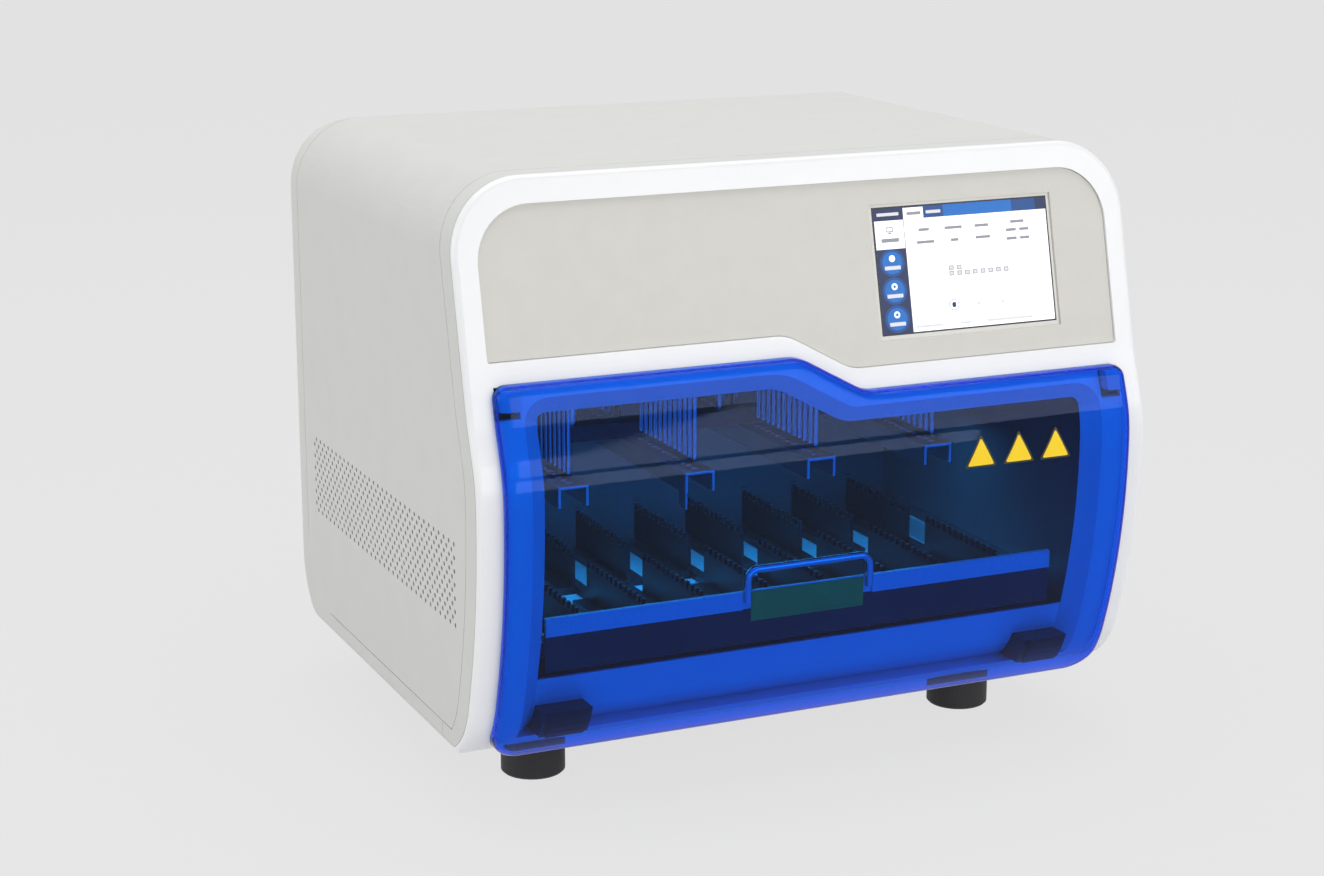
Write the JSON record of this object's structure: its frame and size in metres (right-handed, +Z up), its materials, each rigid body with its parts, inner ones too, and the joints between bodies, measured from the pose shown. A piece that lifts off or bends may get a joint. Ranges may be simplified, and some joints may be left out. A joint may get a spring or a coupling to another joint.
{
  "type": "nucleic_acid_extractor",
  "caption": "Bench nucleic acid extractor with a tinted lift-up door, touch display, sliding strip tray and a magnet rod head, on rubber feet.",
  "frame": {"origin": "centre of the footprint at bench level, under the feet", "axes": "+X to the operator's right, the longest extent; +Y from the door to the rear panel; +Z up"},
  "size_m": [0.555, 0.453, 0.475],
  "materials": {
    "cover_paint": "satin warm grey powder coat",
    "white_moulding": "smooth white moulded plastic",
    "panel_beige": "fine matte beige",
    "screen_glass": "black bonded touch glass",
    "display_body": "black module housing",
    "door_tint": "clear deep blue tint",
    "black_rubber": "moulded matte",
    "zinc_steel": "zinc plated",
    "bright_steel": "ground and polished",
    "anodised": "clear anodised",
    "black_plastic": "moulded black",
    "white_plastic": "moulded white",
    "motor_paint": "black motor body",
    "brass": "turned",
    "lamp_glass": "frosted lamp tube",
    "board_green": "solder resist",
    "label_white": "blank pale plate"
  },
  "bodies": {
    "casing": {"wrap_cover": "cover_paint", "front_frame": "cover_paint", "lower_tub": "cover_paint", "front_bezel": "white_moulding", "base_plate": "zinc_steel", "rear_panel": "zinc_steel", "rubber_feet": "black_rubber", "foot_screws": "zinc_steel", "control_panel": "panel_beige", "display_glass": "screen_glass", "display_module": "display_body", "door_magnets": "black_plastic", "hinge_pins": "bright_steel", "hinge_brackets": "anodised", "side_plates": "zinc_steel", "chamber_liner": "anodised", "chamber_floor": "zinc_steel", "uv_lamp_tube": "lamp_glass", "uv_lamp_holders": "white_plastic", "tray_slides_fixed": "zinc_steel", "x_guide_shafts": "bright_steel", "shaft_blocks": "anodised", "x_motor": "motor_paint", "power_supply": "zinc_steel", "control_board": "board_green", "fan_frame": "black_plastic", "fan_guard": "bright_steel", "power_inlet": "black_plastic", "switch_frame": "black_plastic", "data_ports": "zinc_steel", "casing_screws": "zinc_steel"},
    "door": {"door_shell": "door_tint", "door_hinge_blocks": "white_plastic", "door_hinge_arms": "anodised", "door_strikes": "zinc_steel"},
    "tray": {"tray_floor": "anodised", "tray_front": "anodised", "tray_handle": "bright_steel", "label_plate": "label_white", "well_racks": "anodised", "heater_bars": "anodised", "tray_slides_moving": "zinc_steel"},
    "carriage": {"carriage_plate": "anodised", "carriage_bearings": "zinc_steel", "carriage_bushes": "brass", "x_nut": "brass", "sleeve_motor": "motor_paint"},
    "sleeve_lift": {"sleeve_beam": "anodised", "sleeve_rails": "anodised", "home_flag": "zinc_steel", "lift_guides": "bright_steel", "sleeve_screw": "bright_steel", "magnet_screw": "bright_steel"},
    "magnet_lift": {"magnet_plate": "anodised", "magnet_bushes": "brass", "magnet_motor": "motor_paint", "magnet_rods": "bright_steel"},
    "head_screw": {"x_screw": "bright_steel"},
    "fan": {"fan_rotor": "black_plastic"},
    "power_switch": {"switch_rocker": "black_plastic"}
  },
  "joints": [
    {"name": "door_hinge", "type": "hinge", "parent": "casing", "child": "door", "pos_m": [0, -0.1715, 0.353], "axis": [1, 0, 0], "range_deg": [-85, 0]},
    {"name": "tray_slide", "type": "slide", "parent": "casing", "child": "tray", "axis": [0, -1, 0], "range_m": [0, 0.19]},
    {"name": "head_traverse", "type": "slide", "parent": "casing", "child": "carriage", "axis": [1, 0, 0], "range_m": [0, 0.063]},
    {"name": "sleeve_stroke", "type": "slide", "parent": "carriage", "child": "sleeve_lift", "axis": [0, 0, -1], "range_m": [0, 0.064]},
    {"name": "magnet_stroke", "type": "slide", "parent": "sleeve_lift", "child": "magnet_lift", "axis": [0, 0, -1], "range_m": [0, 0.065]},
    {"name": "head_screw_turn", "type": "hinge", "parent": "casing", "child": "head_screw", "pos_m": [0, 0.0605, 0.363], "axis": [1, 0, 0], "continuous": true},
    {"name": "fan_spin", "type": "hinge", "parent": "casing", "child": "fan", "pos_m": [0.15, 0.2105, 0.23], "axis": [0, 1, 0], "continuous": true},
    {"name": "power_rocker", "type": "hinge", "parent": "casing", "child": "power_switch", "pos_m": [-0.15, 0.2205, 0.125], "axis": [1, 0, 0], "range_deg": [0, 12]}
  ],
  "couplings": [
    {"joint": "tray_slide", "follows": "door_hinge", "m_per_rad": -0.12807},
    {"joint": "head_screw_turn", "follows": "head_traverse", "rad_per_m": 785.4}
  ]
}
